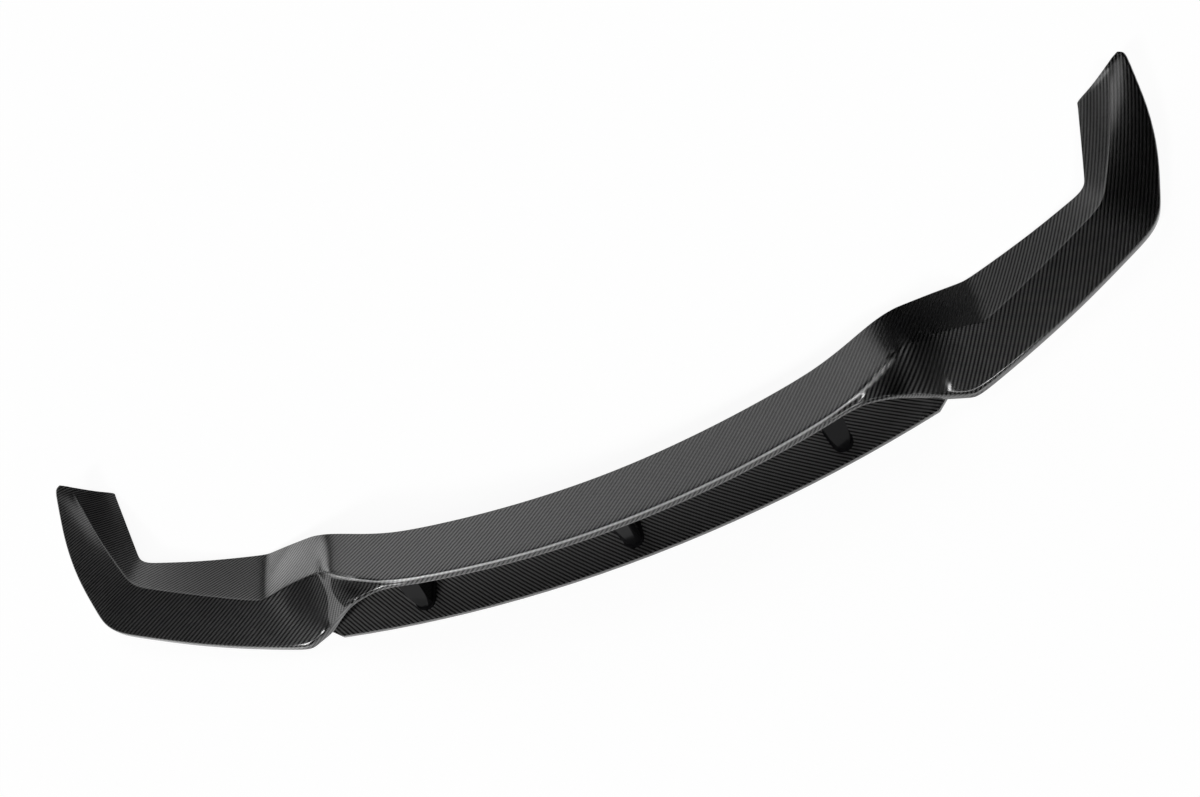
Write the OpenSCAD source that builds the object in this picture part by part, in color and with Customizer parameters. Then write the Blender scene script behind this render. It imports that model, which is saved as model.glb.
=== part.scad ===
// Front splitter lip for a car: a moulded lip shell with a raised nose and two
// wings, a lower blade under the nose, and three supports between the two.
// X runs across the car, -Y is the front, +Z is up, and the lip rests on Z = 0.

/* [Overall] */
// Width over both wing tips
lip_w = 1710; // [1690:2:1760]
// Depth from the blade's front edge to the wing tips
lip_d = 446; // [440:2:470]

/* [Nose] */
// Height of the nose rim above the ground
nose_h = 88; // [82:1:100]
// Height of the upright wall under the nose rim
nose_wall = 12; // [10:1:18]
// Distance from the blade's front edge back to the nose rim
nose_back = 20; // [16:1:28]
// Depth of the flange behind the nose rim
nose_flange = 78; // [60:1:95]
// Fall of that flange from the rim to its rear edge
nose_fall = 10; // [4:1:16]
// How far the nose rim sweeps back at its end
nose_sweep = 86; // [80:1:92]
// Drop of the wall that runs on under each end of the nose rim
pocket_drop = 10; // [6:1:12]

/* [Wings] */
// Half the distance between the wings' inner front corners
wing_in = 495; // [490:1:505]
// Distance from the blade's front edge back to those corners
wing_back = 48; // [44:1:54]
// Height of the crease above the ground along the wings
crease_h = 42; // [38:1:50]
// Distance from the wing tip in to the outer front corner
corner_in = 57; // [50:1:64]
// Distance from the blade's front edge back to the outer front corner
corner_back = 183; // [178:1:190]
// Height of the hem's lower edge at the outer front corner
corner_lift = 12; // [6:1:18]
// Height of the hem's lower edge at the wing tip
tip_lift = 32; // [26:1:38]
// Width of the rear end of a wing
tip_w = 81; // [74:1:90]
// How far the inner rear corner lies ahead of the outer one
tip_skew = 27; // [15:1:32]
// Rounding of the outer rear corner of a wing
tip_round = 8; // [4:1:14]
// Hollow of the flange across the wing tip
tip_hollow = 4; // [0:0.5:6]
// Height of the turned-down hem along the wings
hem_h = 12; // [9:1:15]

/* [Moulding] */
// Thickness of the moulded skin
skin = 3; // [2.4:0.1:3.4]
// Inside radius of the bend along the nose rim and the wings' crease
crease_radius = 0.6; // [0.2:0.1:2]
// Inside radius of the bend where the skin turns down into the hem
hem_radius = 0.6; // [0.2:0.1:2]

/* [Blade] */
// Thickness of the lower blade
blade_t = 9; // [7:0.5:10]
// Depth of the blade from front to back at the middle
blade_d = 118; // [105:1:126]
// How far the ends of the blade's front edge lie in from the wings' inner corners
blade_inset = 54; // [51:1:61]
// How far the blade reaches out under the wings at its rear
blade_reach = 16; // [8:0.5:18]
// Radius of the bow of the blade's front edge
blade_bow = 2050; // [1950:10:2200]
// Rounding of the blade's upper front edge
blade_round = 4; // [2:0.5:5]

/* [Supports] */
// Distance from the blade's front edge back to a support's foot
support_set = 15; // [10:1:22]
// Distance from the middle to each outer support
support_x = 307; // [290:1:320]
// Width of a support at its foot
support_w = 24; // [20:1:30]
// Length of a support at its foot, from front to back
support_l = 46; // [38:1:56]
// How much wider a support is at its top
support_flare = 8; // [2:1:12]
// Height of the foot plate of a support
foot_h = 4; // [3:0.5:6]
// How far the foot plate stands out round a support
foot_rim = 3; // [2:0.5:5]

/* [Fit] */
// Gap left for the adhesive between two pieces
bond_gap = 0.3; // [0.2:0.05:0.4]

/* [Hidden] */
$fn = 48;

half = lip_w / 2;
front = -lip_d / 2;
rear = lip_d / 2;
rim_y = front + nose_back;
rim_end_y = rim_y + nose_sweep;
blade_end_y = front + wing_back + 14;
seat_z = blade_t + bond_gap;
blade_half = wing_in - blade_inset;

// Stations along one half of the lip, from the middle to the wing tip. Each has
// the flange's free edge, the rim or crease, the hem's lower edge, the height of
// the hem, the drop of the wall under the rim, the sag of the skin between crease
// and hem, and how softly the lines turn there, where 0.5 is softest. The
// flange's free edge may turn more tightly than the other two, and the flange may
// be hollow across.
function station(edge, crease, hem, wall, drop, sag, soft, edge_soft = 0.5, hollow = 0) =
    [edge, crease, hem, wall, drop, sag, soft, min(soft, edge_soft), hollow];

stations = [
    station([0, rim_y + nose_flange, nose_h - nose_fall], [0, rim_y, nose_h],
            [0, rim_y - 3, nose_h - nose_wall], 3, 0, 0, 0.5),
    station([150, rim_y + nose_flange + 9, nose_h - nose_fall], [150, rim_y + 8, nose_h],
            [150, rim_y + 5, nose_h - nose_wall], 3, 0, 0, 0.5),
    station([290, rim_y + nose_flange + 31, nose_h - nose_fall - 1], [290, rim_y + 31, nose_h],
            [290, rim_y + 27, nose_h - nose_wall], 3, 0, 0, 0.5),
    station([342, rim_y + nose_flange + 47, nose_h - nose_fall - 1], [345, rim_y + 48, nose_h],
            [345, rim_y + 42, nose_h - nose_wall - 1], 5, 0, 0, 0.5),
    station([386, rim_end_y + 58, nose_h - 13], [395, rim_end_y - 10, nose_h],
            [388, rim_end_y - 49, nose_h - nose_wall - 5], nose_wall - 4, pocket_drop, 0, 0.5),
    station([412, rim_end_y + 69, nose_h - 16], [420, rim_end_y + 9, nose_h - 5],
            [410, rim_end_y - 49, nose_h - 34], hem_h - 3, pocket_drop * 0.8, 0, 0.5),
    station([436, rim_end_y + 78, nose_h - 24], [439, rim_end_y + 22, nose_h - 25],
            [428, rim_end_y - 47, nose_h - 54], hem_h - 2, pocket_drop * 0.2, 1, 0.5, 0.2),
    station([486, front + 200, 36], [485, front + 133, 49], [452, front + wing_back + 11, seat_z - 1.4],
            hem_h, 0, 2, 0.3),
    station([538, front + 217, 4], [540, front + 128, crease_h - 1], [wing_in, front + wing_back, 0],
            hem_h, 0, 0, 0.12),
    station([635, front + 240, 14], [640, front + 176, crease_h], [642, front + 104, 5], hem_h, 0, -1, 0.5),
    station([728, front + 268, 28], [738, front + 227, crease_h + 2], [half - corner_in, front + corner_back, corner_lift],
            hem_h, 0, -2, 0.2),
    station([748, front + 332, 17], [785, front + 320, crease_h - 3], [half - 10, front + 307, tip_lift - 9],
            hem_h, 0, -2, 0.5),
    station([half - tip_w - 2, rear - tip_skew - tip_round, skin + 1.5], [half - 28, rear - 9 - tip_round, crease_h - 9],
            [half, rear - tip_round, tip_lift], hem_h, 0, -1, 0, 0, tip_hollow),
    station([half - tip_w - 1, rear - tip_skew - 0.5 * tip_round, skin + 0.5], [half - 28.5, rear - 9 - 0.5 * tip_round, crease_h - 9],
            [half - 0.29 * tip_round, rear - 0.29 * tip_round, tip_lift], hem_h, 0, -1, 0, 0, tip_hollow),
    station([half - tip_w, rear - tip_skew, skin], [half - 29, rear - 9, crease_h - 9],
            [half - tip_round, rear, tip_lift], hem_h, 0, -1, 0, 0, tip_hollow)
];
last = len(stations) - 1;

// A station's value on either side of the middle; the left half is mirrored.
function mirrored(point, side) = [side * point.x, point.y, point.z];
function at(k, field) =
    field < 3 ? mirrored(stations[abs(k)][field], k < 0 ? -1 : 1) : stations[abs(k)][field];

// The value of a field at u, where whole numbers are stations. Between them it
// runs straight, and within soft of a station it turns along a parabola.
function along(u, field) =
    let (
        k = max(-last, min(last, round(u))),
        a = u - k,
        soft = stations[abs(k)][field == 0 ? 7 : 6]
    )
    abs(k) == last || abs(a) >= soft
        ? (a >= 0 || k == -last
            ? at(k, field) + a * (at(min(k + 1, last), field) - at(k, field))
            : at(k, field) + a * (at(k, field) - at(k - 1, field)))
        : at(k, field)
            + ((soft + a) ^ 2 * (at(k + 1, field) - at(k, field))
               - (soft - a) ^ 2 * (at(k, field) - at(k - 1, field))) / (4 * soft);

function unit(v) = v / norm(v);
function lerp(a, b, t) = a + t * (b - a);
function bend(a, b, c, t) = (1 - t) ^ 2 * a + 2 * t * (1 - t) * b + t ^ 2 * c;

// The length that a bend takes up of each of its two legs, so that its outer face
// is nowhere tighter than the given radius.
function bend_leg(radius, before, after) =
    let (c = unit(before) * unit(after))
    max(1.5, radius * sqrt(2 * (1 - c)) / (1 + c) * max(1, sqrt(1 + c)));

flange_steps = 3;
bend_steps = 4;
fillet_steps = 3;
web_steps = 3;
hem_steps = 4;

// The skin between crease and hem: down the wall under the rim to its foot, round
// a fillet there, and on to the hem. Where the wall has no drop it runs straight.
function web(from, foot, to, sag) =
    let (
        into = lerp(foot, from, 0.5),
        away = lerp(foot, to, min(0.6, 9 / norm(to - foot))),
        line = concat(
            [from],
            [for (i = [0:fillet_steps]) bend(into, foot, away, i / fillet_steps)],
            [for (i = [1:web_steps - 1]) lerp(away, to, i / web_steps)])
    )
    [for (p = line) let (t = (p - from) * (to - from) / norm(to - from) ^ 2) p - [0, 0, 4 * sag * t * (1 - t)]];

// The outer face of the lip across one station, from the flange's free edge over
// the crease and down the wing to the hem's lower edge.
function profile(u) =
    let (
        edge = along(u, 0),
        crease = along(u, 1),
        foot = along(u, 2),
        wall = along(u, 3),
        brow = foot + [0, 0, wall],
        reach = norm(brow - crease),
        drop = min(along(u, 4), max(0, 0.35 * (reach - 9))),
        wall_foot = lerp(crease, brow, min(11 / reach, 0.5)) - [0, 0, drop],
        turned = wall_foot - crease,
        crease_len = min(bend_leg(skin + crease_radius, crease - edge, turned), 0.8 * norm(turned)),
        hem_len = min(bend_leg(skin + hem_radius, brow - wall_foot, [0, 0, -1]), 0.55 * norm(brow - wall_foot), 0.8 * wall),
        crease_in = crease + crease_len * unit(edge - crease),
        crease_out = crease + crease_len * unit(turned),
        hem_in = brow + hem_len * unit(wall_foot - brow),
        hem_out = brow - [0, 0, hem_len]
    )
    concat(
        [for (i = [0:flange_steps - 1]) let (t = i / flange_steps)
            lerp(edge, crease_in, t) - [0, 0, 4 * along(u, 8) * t * (1 - t)]],
        [for (i = [0:bend_steps - 1]) bend(crease_in, crease, crease_out, i / bend_steps)],
        web(crease_out, wall_foot, hem_in, along(u, 5)),
        [for (i = [0:hem_steps]) bend(hem_in, brow, hem_out, i / hem_steps)],
        [foot]
    );

// Places along the lip, closest where the lines turn most.
steps_between = [4, 4, 3, 4, 5, 6, 6, 6, 4, 8, 8, 5, 1, 1];
half_places = [for (k = [0:last - 1]) for (i = [0:steps_between[k] - 1]) k + i / steps_between[k]];
places = concat([for (i = [len(half_places) - 1:-1:1]) -half_places[i]], half_places, [last]);
all_places = concat([-last], places);

outer_face = [for (u = all_places) profile(u)];

// The outward direction of a grid at row i and column j.
function normal(grid, i, j) =
    let (
        down = grid[i][min(j + 1, len(grid[0]) - 1)] - grid[i][max(j - 1, 0)],
        side = grid[min(i + 1, len(grid) - 1)][j] - grid[max(i - 1, 0)][j]
    )
    unit(cross(down, side));
function offset_grid(grid, gap) =
    [for (i = [0:len(grid) - 1]) [for (j = [0:len(grid[0]) - 1]) grid[i][j] + gap * normal(grid, i, j)]];

// A closed body between two grids of the same size, the first one on top.
module between_grids(top, bottom) {
    rows = len(top);
    cols = len(top[0]);
    function high(i, j) = i * cols + j;
    function low(i, j) = rows * cols + i * cols + j;
    function quad(a, b, c, d) = [[a, b, c], [a, c, d]];
    points = concat([for (r = top) each r], [for (r = bottom) each r]);
    faces = concat(
        [for (i = [0:rows - 2]) for (j = [0:cols - 2]) each concat(
            quad(high(i, j), high(i + 1, j), high(i + 1, j + 1), high(i, j + 1)),
            quad(low(i, j), low(i, j + 1), low(i + 1, j + 1), low(i + 1, j)))],
        [for (i = [0:rows - 2]) each concat(
            quad(high(i, 0), low(i, 0), low(i + 1, 0), high(i + 1, 0)),
            quad(high(i, cols - 1), high(i + 1, cols - 1), low(i + 1, cols - 1), low(i, cols - 1)))],
        [for (j = [0:cols - 2]) each concat(
            quad(high(0, j), high(0, j + 1), low(0, j + 1), low(0, j)),
            quad(high(rows - 1, j), low(rows - 1, j), low(rows - 1, j + 1), high(rows - 1, j + 1)))]
    );
    polyhedron(points, faces, convexity = 6);
}

module lip_shell() {
    color([0.07, 0.07, 0.075])
        between_grids(outer_face, offset_grid(outer_face, -skin));
}

// Where the blade's front edge runs at a distance x from the middle.
function blade_front(x) = front + blade_bow - sqrt(blade_bow ^ 2 - x ^ 2);

// Plan of the blade: a bowed front edge, short ends that run back and outwards
// under the wings, and a rear edge with the same bow.
module blade_plan(inset) {
    difference() {
        intersection() {
            translate([0, front + blade_bow])
                circle(r = blade_bow - inset, $fn = 720);
            polygon([
                [-blade_half + inset, front - 1], [blade_half - inset, front - 1],
                [blade_half - inset, front + wing_back], [blade_half + blade_reach - inset, blade_end_y],
                [blade_half + blade_reach - inset, front + blade_d + wing_back],
                [-blade_half - blade_reach + inset, front + blade_d + wing_back],
                [-blade_half - blade_reach + inset, blade_end_y], [-blade_half + inset, front + wing_back]
            ]);
        }
        translate([0, front + blade_d + blade_bow])
            circle(r = blade_bow, $fn = 720);
    }
}

round_steps = 3;
module lower_blade() {
    color([0.06, 0.06, 0.065]) {
        linear_extrude(blade_t - blade_round)
            blade_plan(0);
        for (i = [1:round_steps]) {
            below = blade_round * sin(90 * (i - 1) / round_steps);
            above = blade_round * sin(90 * i / round_steps);
            translate([0, 0, blade_t - blade_round + below])
                linear_extrude(above - below)
                    blade_plan(blade_round * (1 - cos(90 * (i - 0.5) / round_steps)));
        }
    }
}

// An outline with straight sides and rounded ends, from y = from to y = to.
module bar_plan(width, from, to) {
    for (y = [from + width / 2, to - width / 2])
        translate([0, y])
            circle(d = width);
    translate([-width / 2, from + width / 2])
        square([width, to - from - width]);
}

// The way the nose rim runs at u, the angle by which it is swept there, and the
// fall of the flange behind it.
function rim_way(u) = unit(along(u + 0.1, 1) - along(u - 0.1, 1));
function rim_turn(u) = atan2(rim_way(u).y, rim_way(u).x);
function flange_fall(u) =
    let (way = rim_way(u), across = along(u, 0) - along(u, 1))
    -across.z / (across.y * way.x - across.x * way.y);

// One support: a flat foot bonded to the blade, and a post that leans back and
// widens up to the underside of the nose. It is set square to the rim at u.
module support(u) {
    rim = along(u, 1);
    fall = flange_fall(u);
    foot_from = blade_front(rim.x) + support_set - rim.y;
    foot_to = foot_from + support_l + 2 * foot_rim;
    post_from = foot_from + foot_rim;
    post_to = foot_to - foot_rim;
    top_from = skin + crease_radius + 2.4;
    wall_low = nose_h - nose_wall - seat_z - 1.5;
    ceiling = rim.z - seat_z - skin * sqrt(1 + fall ^ 2) - bond_gap;
    color([0.03, 0.03, 0.035])
        translate([rim.x, rim.y, seat_z])
            rotate([0, 0, rim_turn(u)]) {
                linear_extrude(foot_h)
                    bar_plan(support_w + 2 * foot_rim, foot_from, foot_to);
                intersection() {
                    linear_extrude(nose_h)
                        bar_plan(support_w + support_flare, post_from, post_to);
                    translate([0, post_to, 0])
                        rotate([90, 0, 0])
                            linear_extrude(post_to - post_from)
                                polygon([
                                    [-support_w / 2, 1], [support_w / 2, 1],
                                    [(support_w + support_flare) / 2, ceiling],
                                    [-(support_w + support_flare) / 2, ceiling]
                                ]);
                    translate([-support_w, 0, 0])
                        rotate([90, 0, 90])
                            linear_extrude(2 * support_w)
                                polygon([
                                    [post_from, 1], [post_to, 1], [post_to, ceiling - fall * post_to],
                                    [top_from, ceiling - fall * top_from], [top_from, wall_low], [-1, wall_low]
                                ]);
                }
            }
}

// Where along the rim the outer supports stand.
outer_u = lookup(support_x, [for (u = [0:0.125:4]) [along(u, 1).x, u]]);

module support_left() {
    support(-outer_u);
}

module support_centre() {
    support(0);
}

module support_right() {
    support(outer_u);
}

lip_shell();
lower_blade();
support_left();
support_centre();
support_right();
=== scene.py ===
# %% [markdown]
# # A front splitter lip in twill carbon
#
# The object is a wide lip that hangs under a car's front bumper. It is one thin moulding with a
# raised nose and two swept wings, over a flat lower blade, with three short supports between the two.
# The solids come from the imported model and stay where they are. This file gives them the finish that
# a clear-coated carbon part has, a pale studio, and the camera of the photograph.

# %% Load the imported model
import math

import bmesh
import bpy
from mathutils import Matrix, Vector


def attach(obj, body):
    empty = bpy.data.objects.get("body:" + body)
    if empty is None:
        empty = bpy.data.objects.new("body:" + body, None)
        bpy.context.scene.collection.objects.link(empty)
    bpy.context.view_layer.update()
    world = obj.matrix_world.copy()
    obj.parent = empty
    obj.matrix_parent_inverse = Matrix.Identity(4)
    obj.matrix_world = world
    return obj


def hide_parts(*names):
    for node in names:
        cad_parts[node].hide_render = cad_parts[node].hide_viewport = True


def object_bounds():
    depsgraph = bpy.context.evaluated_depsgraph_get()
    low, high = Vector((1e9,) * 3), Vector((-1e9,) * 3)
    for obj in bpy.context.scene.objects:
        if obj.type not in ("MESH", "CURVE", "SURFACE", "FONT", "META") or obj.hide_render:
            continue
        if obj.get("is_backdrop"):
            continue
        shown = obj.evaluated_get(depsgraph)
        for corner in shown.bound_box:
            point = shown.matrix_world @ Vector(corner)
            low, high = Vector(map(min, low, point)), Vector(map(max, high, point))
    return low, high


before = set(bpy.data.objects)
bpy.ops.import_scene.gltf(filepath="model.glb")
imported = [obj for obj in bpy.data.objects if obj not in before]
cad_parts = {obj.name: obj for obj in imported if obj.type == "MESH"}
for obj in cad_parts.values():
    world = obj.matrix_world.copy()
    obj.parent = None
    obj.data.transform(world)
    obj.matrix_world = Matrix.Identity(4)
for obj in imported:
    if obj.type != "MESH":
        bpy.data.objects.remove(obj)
cad_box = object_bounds()
print("solids:", ", ".join(sorted(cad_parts)))

# %% [markdown]
# ## Camera
#
# The photograph was taken from high up and ahead of the lip, to the right of its middle, with a
# moderate lens. The camera's three directions are written as they were worked out from the lip's own
# left-right symmetry, so that the picture's horizon and the lip's slant come out together.

# %% Set the camera
CAMERA_PLACE = Vector((0.4123, -1.1455, 2.0231))
CAMERA_RIGHT = Vector((0.9164, -0.2371, -0.3225))
CAMERA_BACK = Vector((0.171, -0.4966, 0.851))
CAMERA_SIGHT = 50.0
LENS_MM = 50.0
SENSOR_MM = 36.0


def photo_camera():
    """The camera of the photograph, aimed by its right and back directions."""
    camera = bpy.data.objects.new("photo_camera", bpy.data.cameras.new("photo_camera"))
    bpy.context.scene.collection.objects.link(camera)
    back = CAMERA_BACK.normalized()
    up = back.cross(CAMERA_RIGHT).normalized()
    right = up.cross(back)
    turn = Matrix((right, up, back)).transposed().to_4x4()
    camera.matrix_world = Matrix.Translation(CAMERA_PLACE) @ turn
    camera.data.lens = LENS_MM
    camera.data.sensor_width = SENSOR_MM
    camera.data.clip_end = CAMERA_SIGHT
    return camera


bpy.context.scene.camera = photo_camera()
print("camera", round(CAMERA_PLACE.length, 2), "m from the middle of the lip's floor")

# %% [markdown]
# ## How the cloth lies
#
# Twill cloth is laid into the mould in one piece, so its tows bend gently round the bow of the lip.
# A point's place on the cloth is therefore its angle round the centre of the bow, times the bow's
# radius, and its distance from that centre. Upright faces, such as the nose's wall and the hem, would
# be smeared by a map seen from above, so there the height takes the place of the distance.

# %% Lay out the cloth on a mesh
BOW_RADIUS = 2.05
BOW_CENTRE_Y = cad_box[0].y + BOW_RADIUS
UPRIGHT = 0.5  # a face is upright where its normal rises less than this
CLOTH = "cloth"


def cloth_place(point, upright):
    """Metres along and across the bow, for a point on a flat or an upright face."""
    reach = math.hypot(point.x, BOW_CENTRE_Y - point.y)
    along = BOW_RADIUS * math.atan2(point.x, BOW_CENTRE_Y - point.y)
    across = BOW_RADIUS - reach
    return Vector((along, point.z if upright else across))


def lay_cloth(edit, turn_degrees, handed):
    """Writes the cloth's own coordinates, turned so that they run along its two sets of tows."""
    layer = edit.loops.layers.uv.new(CLOTH)
    turn = Matrix.Rotation(math.radians(turn_degrees), 2)
    for face in edit.faces:
        upright = abs(face.normal.z) < UPRIGHT
        for loop in face.loops:
            place = turn @ cloth_place(loop.vert.co, upright)
            loop[layer].uv = (place.x, place.y * handed)


print("the bow's centre lies at y =", round(BOW_CENTRE_Y, 3))

# %% [markdown]
# ## Where the skin bends
#
# Some of the steps below must leave the lip's bends alone: the nose's rim, the wings' crease and the
# hem. A bend is found by how far the surface turns within a few millimetres of a point, and not by
# the angle of one edge, because a rolled edge is made of many small angles.

# %% Find the bends
BEND_REACH = 0.004
BEND_ANGLE = math.radians(28)


def bend_at(vert):
    """The largest turn of the surface within a few millimetres of a point."""
    near = ring = {vert}
    while ring:
        ring = {edge.other_vert(point) for point in ring for edge in point.link_edges} - near
        ring = {point for point in ring if (point.co - vert.co).length < BEND_REACH}
        near = near | ring
    return max(vert.normal.angle(point.normal, 0.0) for point in near)


# %% [markdown]
# ## Easing the folds
#
# Where the nose steps down to the wings the sections turn quickly, and on gloss black their lines
# would show as ridges. There the points that lie on no bend are relaxed toward their neighbours until
# the highlights run smoothly. A second, short easing takes in all but the sharpest edges, which
# smooths the line between the relaxed points and the ones that stayed.

# %% Ease the folds
FOLD_REACH = (0.35, 0.50)
EASE_ROUNDS = 90
SOFT_ANGLE = math.radians(40)
SOFT_ROUNDS = 4


def is_soft(vert):
    """Whether no edge at a point is sharp."""
    return all(edge.calc_face_angle(0.0) < SOFT_ANGLE for edge in vert.link_edges)


def relax(edit, points, rounds):
    """Draws points halfway to the middle of their neighbours, again and again."""
    axes = {"use_axis_x": True, "use_axis_y": True, "use_axis_z": True}
    for _ in range(rounds):
        bmesh.ops.smooth_vert(edit, verts=points, factor=0.5, **axes)


def ease_folds(edit):
    """Relaxes the web where the nose steps down to the wings, and keeps the crease and the hem."""
    edit.normal_update()
    fold = [vert for vert in edit.verts if FOLD_REACH[0] < abs(vert.co.x) < FOLD_REACH[1]]
    free = [vert for vert in fold if bend_at(vert) < BEND_ANGLE]
    relax(edit, free, EASE_ROUNDS)
    soft = [vert for vert in fold if is_soft(vert)]
    relax(edit, soft, SOFT_ROUNDS)
    print("eased", len(free), "and", len(soft), "of", len(fold), "points")


# %% [markdown]
# ## The rim of the nose
#
# The nose's flange rolls down along a tight rim, and along it the carbon's colour is made lighter as
# a painted highlight, for the light line that the rim mirrors. A line this thin could be drawn by a
# curve of its own, but it would not follow the eased mesh. So the rim's points are found by their
# height, their tilt and the bend round them, and marked in an attribute that the carbon reads. The
# mark fades out before the folds.

# %% Mark the rim
RIM = "rim"
RIM_END = 0.43
RIM_FADE = 0.05
RIM_DROP = 0.0065
RIM_TILT = (math.radians(20), math.radians(60))


def on_rim(vert):
    """Whether a point lies where the nose's flange rolls down."""
    tilt = vert.normal.angle(Vector((0.0, 0.0, 1.0)), 0.0)
    ahead = RIM_TILT[0] < tilt < RIM_TILT[1] and vert.normal.y < 0.0
    return ahead and vert.co.z > cad_box[1].z - RIM_DROP and bend_at(vert) > BEND_ANGLE


def mark_rim(edit):
    """Marks the line where the nose's flange rolls down, which the carbon lightens as a painted
    highlight.
    """
    rim = edit.verts.layers.float.new(RIM)
    edit.normal_update()
    for vert in edit.verts:
        if on_rim(vert):
            vert[rim] = min(1.0, max(0.0, (RIM_END - abs(vert.co.x)) / RIM_FADE))
    print("rim points", sum(vert[rim] > 0.0 for vert in edit.verts))


# %% [markdown]
# ## A smooth copy of a moulded solid
#
# The solid's mesh is loose triangles. On gloss black every facet would show as a broken reflection,
# so the moulding is shown by a copy: its doubles are merged, its triangles are joined to quads, and
# the sharp edges are creased before a subdivision surface rounds the rest. The blade is a flat plate,
# so its copy needs no subdivision. Its cloth was laid at a slightly different angle than the
# moulding's, and its ribs lean the other way.

# %% Refine the moulding and the blade
MERGE_DISTANCE = 2e-5
JOIN_ANGLE = math.radians(40)
JOIN_SHAPE = math.radians(60)


def merge_solid(edit):
    """Makes loose triangles one surface, of quads where they can be joined."""
    bmesh.ops.remove_doubles(edit, verts=edit.verts, dist=MERGE_DISTANCE)
    bmesh.ops.join_triangles(
        edit,
        faces=edit.faces,
        angle_face_threshold=JOIN_ANGLE,
        angle_shape_threshold=JOIN_SHAPE,
    )


def crease_sharp(edit, sharp_degrees):
    """Creases the sharp edges and shades everything else smooth."""
    crease = edit.edges.layers.float.new("crease_edge")
    for edge in edit.edges:
        sharp = edge.calc_face_angle(0.0) > math.radians(sharp_degrees)
        edge.smooth = not sharp
        edge[crease] = float(sharp)
    for face in edit.faces:
        face.smooth = True


def smooth_copy(node, name, sharp_degrees, levels, turn_degrees, handed):
    """A refined copy that stands for a CAD node."""
    piece = bpy.data.objects.new(name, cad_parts[node].data.copy())
    bpy.context.scene.collection.objects.link(piece)
    edit = bmesh.new()
    edit.from_mesh(piece.data)
    merge_solid(edit)
    if levels:
        mark_rim(edit)
        ease_folds(edit)
    crease_sharp(edit, sharp_degrees)
    lay_cloth(edit, turn_degrees, handed)
    quads = sum(len(face.verts) == 4 for face in edit.faces)
    print(name, "quads", quads, "of", len(edit.faces))
    edit.to_mesh(piece.data)
    edit.free()
    if levels:
        surface = piece.modifiers.new("smooth", "SUBSURF")
        surface.levels = surface.render_levels = levels
        surface.uv_smooth = "PRESERVE_BOUNDARIES"
    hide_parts(node)
    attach(piece, "root")
    return piece


shell = smooth_copy(
    "lip_shell",
    "moulded_lip",
    sharp_degrees=70,
    levels=2,
    turn_degrees=5,
    handed=1,
)
blade = smooth_copy(
    "lower_blade",
    "splitter_blade",
    sharp_degrees=40,
    levels=0,
    turn_degrees=-2,
    handed=-1,
)

# %% [markdown]
# ## Shader sums
#
# A socket wrapped in a small class can be added and multiplied like a number, and each operation
# leaves its Math node behind. Any other node comes from one method of the graph.


# %% Write shader maths as Python
class Value:
    """A socket that takes part in Python expressions."""

    def __init__(self, graph, socket):
        self.graph = graph
        self.socket = socket

    def maths(self, operation, *others):
        """Adds a Math node that works on this socket first."""
        return self.graph.add("ShaderNodeMath", {"operation": operation}, [self, *others])

    def __add__(self, other):
        return self.maths("ADD", other)

    def __sub__(self, other):
        return self.maths("SUBTRACT", other)

    def __rsub__(self, other):
        return self.graph.add("ShaderNodeMath", {"operation": "SUBTRACT"}, [other, self])

    def __mul__(self, other):
        return self.maths("MULTIPLY", other)

    def __truediv__(self, other):
        return self.maths("DIVIDE", other)

    def __mod__(self, other):
        return self.maths("FLOORED_MODULO", other)

    def __lt__(self, other):
        return self.maths("LESS_THAN", other)

    __radd__ = __add__
    __rmul__ = __mul__

    def floor(self):
        return self.maths("FLOOR")

    def exp(self):
        return self.maths("EXPONENT")


# %% Build a node tree
class Graph:
    """The node tree of one material or of the world."""

    def __init__(self, owner):
        owner.use_nodes = True
        self.tree = owner.node_tree
        self.tree.nodes.clear()

    def add(self, kind, settings=None, values=(), output=0):
        """Makes a node, sets it up, feeds its sockets, and returns one of its outputs."""
        node = self.tree.nodes.new(kind)
        for key, setting in (settings or {}).items():
            setattr(node, key, setting)
        pairs = values.items() if isinstance(values, dict) else enumerate(values)
        for key, value in pairs:
            if isinstance(value, Value):
                self.tree.links.new(value.socket, node.inputs[key])
            else:
                node.inputs[key].default_value = value
        return Value(self, node.outputs[output]) if node.outputs else None

    def outputs(self, value, *names):
        """Further outputs of the node that a value comes from."""
        return [Value(self, value.socket.node.outputs[name]) for name in names]


# %% [markdown]
# ## Tows under clear coat
#
# A tow is a flat bundle of carbon fibres, and it mirrors light in a stripe across itself. A plain
# glossy shader would mirror in a round spot, so each set of tows is an anisotropic shader that runs
# along the cloth. Both carry the same hard clear coat, so their mix has one coat all over.

# %% Shade one set of tows
TOW_ROUGHNESS = 0.5
FIBRE_STRETCH = 0.95
COAT_ROUGHNESS = 0.03
COAT_IOR = 1.5


def tow_shader(graph, shade, normal, turn):
    """The fibres of one set of tows under the coat, turned by a share of a full turn."""
    tangent = graph.add("ShaderNodeTangent", {"direction_type": "UV_MAP", "uv_map": CLOTH})
    return graph.add(
        "ShaderNodeBsdfPrincipled",
        values={
            "Base Color": shade,
            "Metallic": 1.0,
            "Roughness": TOW_ROUGHNESS,
            "Anisotropic": FIBRE_STRETCH,
            "Anisotropic Rotation": turn,
            "Tangent": tangent,
            "Normal": normal,
            "Coat Weight": 1.0,
            "Coat Roughness": COAT_ROUGHNESS,
            "Coat IOR": COAT_IOR,
        },
    )
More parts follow.
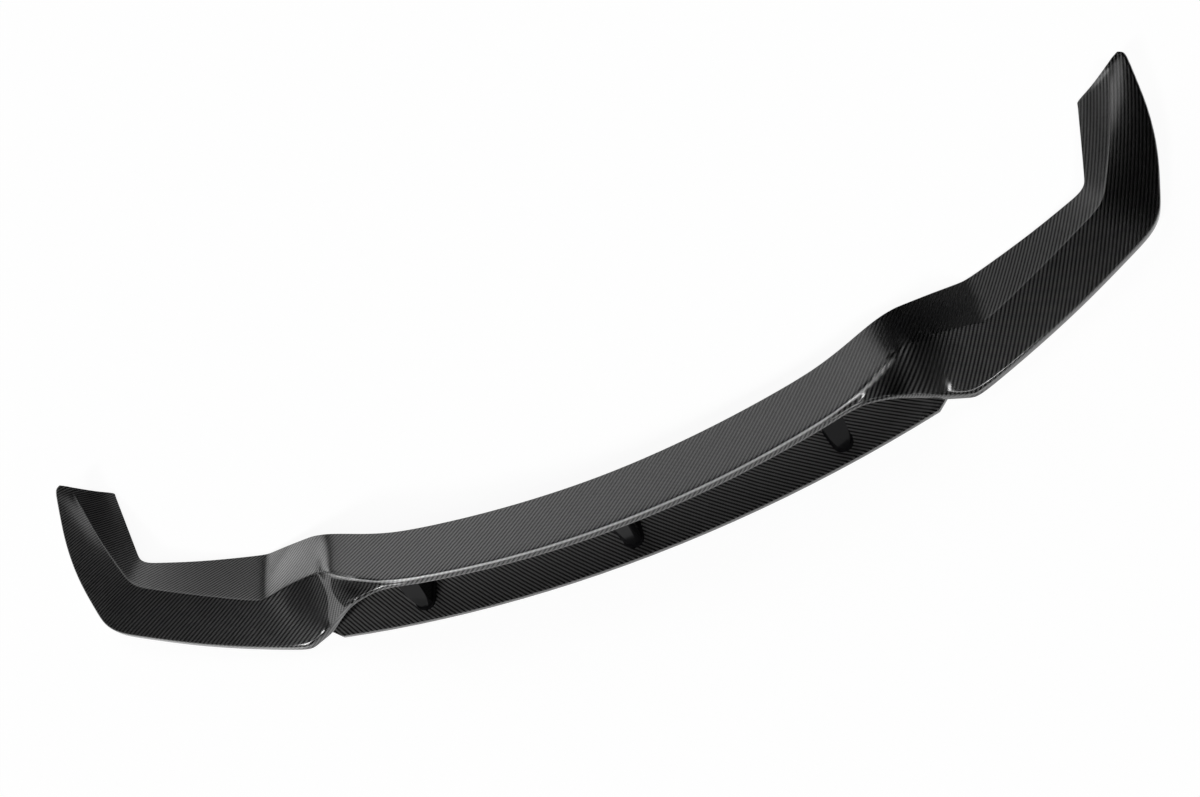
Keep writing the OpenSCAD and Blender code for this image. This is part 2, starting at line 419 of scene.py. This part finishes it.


# %% [markdown]
# ## Carbon twill
#
# In 2x2 twill each tow passes over two and under two, one step further along each time, which draws
# the diagonal ribs. An image could carry the pattern, but here it is counted from the cloth's own
# coordinates, so it stays sharp at any size: a column and a row say which tow lies on top, and the
# place within them gives its rounded back. The two sets of tows are the same fibre, but the warp's
# colour is painted light, for the studio's light that it catches, and the weft's is painted shade, so
# it stays dark. A painted highlight makes the rim of the nose lighter than both.

# %% Weave the carbon
TOW_WIDTH = 0.0017
TOW_BULGE = 0.00005
TOW_CROWN = 2.0
# painted shade along each tow's rounded edges
TOW_EDGE_PAINTED_SHADE = 0.35
# both sets of tows are one fibre: the warp's colour is painted light and the weft's is painted shade
WARP_PAINTED_LIGHT = 0.2
WEFT_PAINTED_SHADE = 0.03
# colour added along the nose's rim: a painted highlight for the light line that the rim mirrors
RIM_PAINTED_HIGHLIGHT = 0.8
REPEAT_TOWS = 4.0  # tows until the pattern starts again
FLOAT_TOWS = 2.0  # tows that a tow passes over
WARP_MIDDLE = 1.0  # middle of the warp's float, in tows
WEFT_MIDDLE = 2.0  # middle of the weft's float, in tows
WARP_TURN = 0.25  # of a full turn, from the weft to the warp


def tow_height(across, along):
    """Height of a tow's back: it is rounded across the tow and bent along its float."""
    return TOW_CROWN - across * across - along * along


def tow_shade(across, shade):
    """Colour of a tow, with painted shade that darkens it a little along its rounded edges."""
    return (1.0 - across * across * TOW_EDGE_PAINTED_SHADE) * shade


def carbon(name):
    """2x2 twill under clear coat, laid by the mesh's cloth coordinates."""
    material = bpy.data.materials.new(name)
    graph = Graph(material)
    cloth = graph.add("ShaderNodeUVMap", {"uv_map": CLOTH})
    split = graph.add("ShaderNodeSeparateXYZ", values=[cloth])
    u, v = (place / TOW_WIDTH for place in graph.outputs(split, "X", "Y"))
    column = u.floor()
    row = v.floor()
    warp_over = ((column - row) % REPEAT_TOWS) < FLOAT_TOWS
    across_warp = (v - row) * 2.0 - 1.0
    across_weft = (u - column) * 2.0 - 1.0
    warp_height = tow_height(across_warp, (u - row) % REPEAT_TOWS - WARP_MIDDLE)
    weft_height = tow_height(across_weft, (v - column) % REPEAT_TOWS - WEFT_MIDDLE)
    height = weft_height + warp_over * (warp_height - weft_height)
    bump = graph.add(
        "ShaderNodeBump", values={"Distance": TOW_BULGE, "Strength": 1.0, "Height": height}
    )
    # the rim's mark lightens both sets of tows with a painted highlight
    rim_highlight = graph.add("ShaderNodeAttribute", {"attribute_name": RIM}, output="Fac") * RIM_PAINTED_HIGHLIGHT
    weft = tow_shader(graph, tow_shade(across_weft, WEFT_PAINTED_SHADE) + rim_highlight, bump, turn=0.0)
    warp = tow_shader(graph, tow_shade(across_warp, WARP_PAINTED_LIGHT) + rim_highlight, bump, turn=WARP_TURN)
    mixed = graph.add("ShaderNodeMixShader", values=[warp_over, weft, warp])
    graph.add("ShaderNodeOutputMaterial", values=[mixed])
    print(name, "has", len(graph.tree.nodes), "nodes")
    return material


def dress(piece, material):
    """Gives a piece one material."""
    piece.data.materials.clear()
    piece.data.materials.append(material)


twill = carbon("twill_carbon")
dress(shell, twill)
dress(blade, twill)

# %% [markdown]
# ## Supports
#
# The three supports are gloss black and stand in the shade of the nose. Their solids are right as
# they are, so they only take a finish: nearly black, with a little unevenness in the gloss.

# %% Make the supports' black
SUPPORT_COLOUR = (0.012, 0.012, 0.013, 1.0)
SUPPORT_ROUGHNESS = 0.16
SUPPORT_SHINE = 0.05
SUPPORT_COAT_ROUGHNESS = 0.05
GRAIN_SCALE = 300.0
GRAIN_DETAIL = 3.0
GRAIN_DEPTH = 0.0001
GRAIN_STRENGTH = 0.3
GRAIN_ROUGHNESS = 0.1


def support_black():
    """Gloss black moulding with faint unevenness."""
    material = bpy.data.materials.new("support_black")
    graph = Graph(material)
    place = graph.add("ShaderNodeTexCoord", output="Object")
    grain = graph.add(
        "ShaderNodeTexNoise", values={"Vector": place, "Scale": GRAIN_SCALE, "Detail": GRAIN_DETAIL}
    )
    bump = graph.add(
        "ShaderNodeBump", values={"Distance": GRAIN_DEPTH, "Strength": GRAIN_STRENGTH, "Height": grain}
    )
    shader = graph.add(
        "ShaderNodeBsdfPrincipled",
        values={
            "Base Color": SUPPORT_COLOUR,
            "Roughness": grain * GRAIN_ROUGHNESS + SUPPORT_ROUGHNESS,
            "Specular IOR Level": SUPPORT_SHINE,
            "Normal": bump,
            "Coat Weight": SUPPORT_SHINE,
            "Coat Roughness": SUPPORT_COAT_ROUGHNESS,
        },
    )
    graph.add("ShaderNodeOutputMaterial", values=[shader])
    return material


black = support_black()
for side in ("left", "centre", "right"):
    dress(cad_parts["support_" + side], black)
    print("support_" + side, "is", black.name)

# %% [markdown]
# ## Floor
#
# The lip lies on white paper. A paper lit to white by lamps would need so much light that the object
# would burn out, so most of its white is a glow that only the camera and mirroring surfaces see. The
# rest is matte paper, which keeps the lip's soft shadow.

# %% Lay the floor
WHITE = (1.0, 1.0, 1.0, 1.0)
FLOOR_SIZE = 40.0
PAPER_COLOUR = (0.86, 0.86, 0.86, 1.0)
PAPER_SHARE = 0.75
PAPER_GLOW = 1.23


def floor():
    """White paper that keeps a soft shadow."""
    edit = bmesh.new()
    bmesh.ops.create_grid(edit, x_segments=1, y_segments=1, size=FLOOR_SIZE / 2)
    bmesh.ops.translate(edit, verts=edit.verts, vec=(0.0, 0.0, cad_box[0].z))
    mesh = bpy.data.meshes.new("floor")
    edit.to_mesh(mesh)
    edit.free()
    paper = bpy.data.objects.new("floor", mesh)
    bpy.context.scene.collection.objects.link(paper)
    material = bpy.data.materials.new("paper")
    graph = Graph(material)
    seen = graph.add("ShaderNodeLightPath")
    glossy, clear = graph.outputs(seen, "Is Glossy Ray", "Is Transmission Ray")
    matte = graph.add("ShaderNodeBsdfDiffuse", values={"Color": PAPER_COLOUR})
    glow = graph.add("ShaderNodeEmission", values={"Color": WHITE, "Strength": PAPER_GLOW})
    share = (seen + glossy + clear) * PAPER_SHARE
    mixed = graph.add("ShaderNodeMixShader", values=[share, matte, glow])
    graph.add("ShaderNodeOutputMaterial", values=[mixed])
    dress(paper, material)
    paper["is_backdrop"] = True


floor()
print("paper", FLOOR_SIZE, "m wide")

# %% [markdown]
# ## Lights
#
# Gloss black shows little but what it mirrors, so the soft lights are painted into the world for
# their reflections: a broad one behind, a lower one behind and to the left, a small one at each end
# of a thin strip ahead, and darkness everywhere else. The strip draws the light lines on the rolled
# edges. Lamps would give the same reflections, but a painted light has no edge that shows as a shape.


# %% Aim at a direction
def toward(azimuth, elevation):
    """A direction from two angles in degrees, the first one turned from +X."""
    azimuth, elevation = math.radians(azimuth), math.radians(elevation)
    level = math.cos(elevation)
    return Vector((level * math.cos(azimuth), level * math.sin(azimuth), math.sin(elevation)))


def leaning(ray, direction):
    """How much a ray leans to a direction: 1 along it, 0 across it."""
    x, y, z = ray
    return x * direction.x + y * direction.y + z * direction.z


def astray(ray, direction, spread_degrees):
    """How far a ray strays from a direction: 0 along it, 1 at the spread."""
    return (1.0 - leaning(ray, direction)) / (1.0 - math.cos(math.radians(spread_degrees)))


# %% Light the room
SOFT_LIGHTS = (
    # azimuth from +X, elevation, spread (all degrees), brightness
    (105, 38, 17, 1.35),
    (139, 13, 15, 2.1),
    (227, 36, 5, 20.0),
    (303, 49, 4, 12.0),
)
STRIP_ENDS = ((226, 36), (303, 49))
STRIP_WIDTH = 2.2
STRIP_REACH = 34
STRIP_BRIGHTNESS = 6.0
DARKNESS = 0.01
BACKDROP_GLOW = 0.97


def painted_lights(ray):
    """Brightness of the soft lights and the strip, in the direction of a ray."""
    light = DARKNESS
    for azimuth, elevation, spread, brightness in SOFT_LIGHTS:
        off = astray(ray, toward(azimuth, elevation), spread)
        light = light + (off * off * -1.0).exp() * brightness
    start, end = (toward(*place) for place in STRIP_ENDS)
    aside = leaning(ray, start.cross(end).normalized()) / math.sin(math.radians(STRIP_WIDTH))
    off = astray(ray, (start + end).normalized(), STRIP_REACH)
    return light + (aside * aside * -1.0 - off * off * off * off).exp() * STRIP_BRIGHTNESS


def room():
    """Soft lights in a dark room, and plain white where the camera looks past the floor."""
    world = bpy.context.scene.world or bpy.data.worlds.new("room")
    bpy.context.scene.world = world
    graph = Graph(world)
    way = graph.add("ShaderNodeTexCoord")  # in a world, its first output is the ray's direction
    split = graph.add("ShaderNodeSeparateXYZ", values=[way])
    light = painted_lights(graph.outputs(split, "X", "Y", "Z"))
    seen = graph.add("ShaderNodeLightPath")
    (clear,) = graph.outputs(seen, "Is Transmission Ray")
    lights = graph.add("ShaderNodeBackground", values={"Color": WHITE, "Strength": light})
    white = graph.add("ShaderNodeBackground", values={"Color": WHITE, "Strength": BACKDROP_GLOW})
    mixed = graph.add("ShaderNodeMixShader", values=[seen + clear, lights, white])
    graph.add("ShaderNodeOutputWorld", values=[mixed])
    print("room has", len(SOFT_LIGHTS), "soft lights and a strip")


room()
bpy.context.scene.view_settings.view_transform = "Standard"

# %% [markdown]
# ## Measure
#
# The box of the imported solids and the box of what is shown are printed side by side, to show how
# far the finish changes the lip's size.

# %% Print the sizes
visual_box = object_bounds()
for label, box in (("cad", cad_box), ("visual", visual_box)):
    print(label, "size", [round(high - low, 4) for low, high in zip(*box)])
